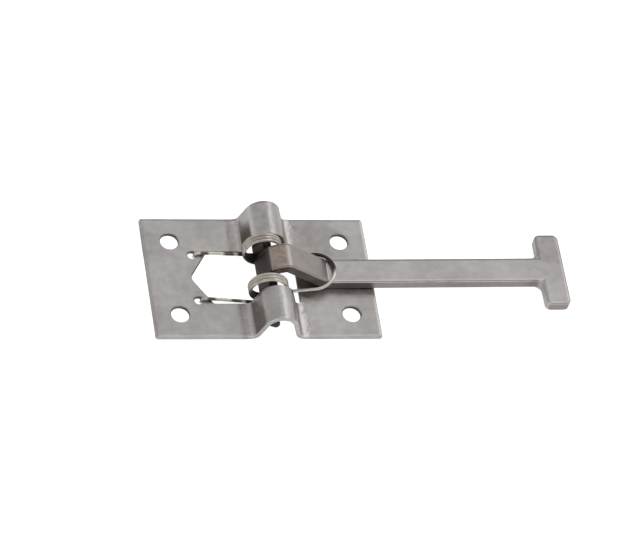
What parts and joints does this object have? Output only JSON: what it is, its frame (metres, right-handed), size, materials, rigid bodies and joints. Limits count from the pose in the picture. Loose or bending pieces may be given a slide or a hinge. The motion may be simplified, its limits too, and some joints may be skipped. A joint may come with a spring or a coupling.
{
  "type": "door retainer",
  "caption": "Steel door retainer: a screw-down plate with rolled knuckles carries a sprung, T-headed arm that swings out from flat and catches in a socket on the door.",
  "frame": {"origin": "centre of the screw pattern, on the plate's back face", "axes": "+X along the plate towards the T head, +Y across the plate along the hinge, +Z out from the wall"},
  "size_m": [0.1417, 0.0476, 0.0145],
  "materials": {
    "plate_steel": "dull rolled sheet, fine grain",
    "arm_steel": "dull rolled strip, heat tint at the bend",
    "spring_wire": "bright drawn wire"
  },
  "bodies": {
    "plate": {"mounting_plate": "plate_steel", "torsion_spring": "spring_wire"},
    "arm": {"t_arm": "arm_steel"}
  },
  "joints": [
    {"name": "arm_hinge", "type": "hinge", "parent": "plate", "child": "arm", "pos_m": [0.00045, 0, 0.00696], "axis": [0, -1, 0], "range_deg": [0, 100], "stiffness_Nm_per_rad": 0.14, "springref_deg": -28.65, "deforming": ["torsion_spring"]}
  ]
}
